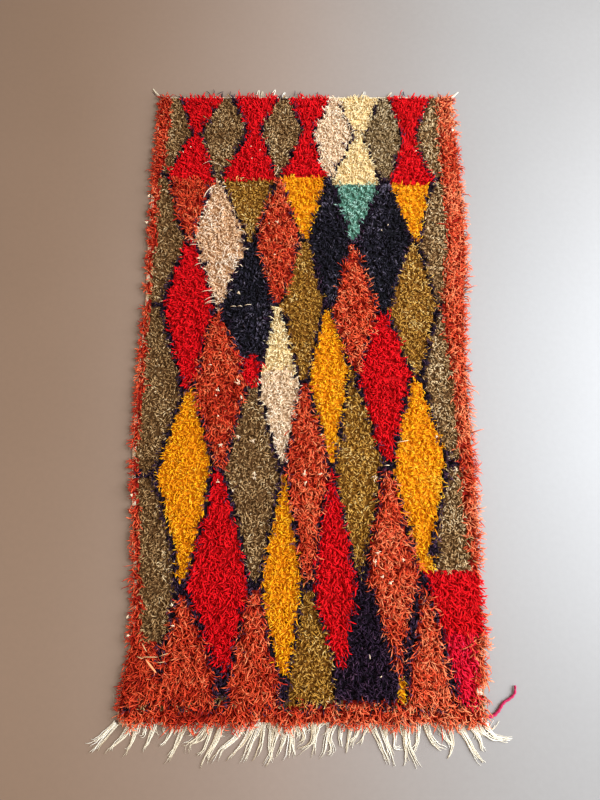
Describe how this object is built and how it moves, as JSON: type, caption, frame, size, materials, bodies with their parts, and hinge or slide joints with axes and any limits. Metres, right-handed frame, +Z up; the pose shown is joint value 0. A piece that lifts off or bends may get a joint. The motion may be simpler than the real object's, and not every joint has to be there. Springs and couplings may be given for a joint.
{
  "type": "boucherouite pile rug",
  "caption": "Knotted shag pile rug of bright lozenges, lying flat, with a loose warp fringe along one end and short warp loops at the other.",
  "frame": {"origin": "on the floor, under the middle of the whole rug with its fringe", "axes": "+Y up the rug from the fringed end to the plain end, +X to the right seen from above with the fringe nearest, +Z up out of the pile"},
  "size_m": [1.1915, 2.14, 0.0298],
  "materials": {
    "pile": "shaggy cut pile in many yarn colours",
    "warp": "undyed twisted cotton",
    "loose_yarn": "soft crimson yarn"
  },
  "bodies": {
    "root": {"rug_body": "pile", "warp_fringe": "warp", "plain_end_warps": "warp", "loose_yarn_end": "loose_yarn"}
  },
  "joints": []
}
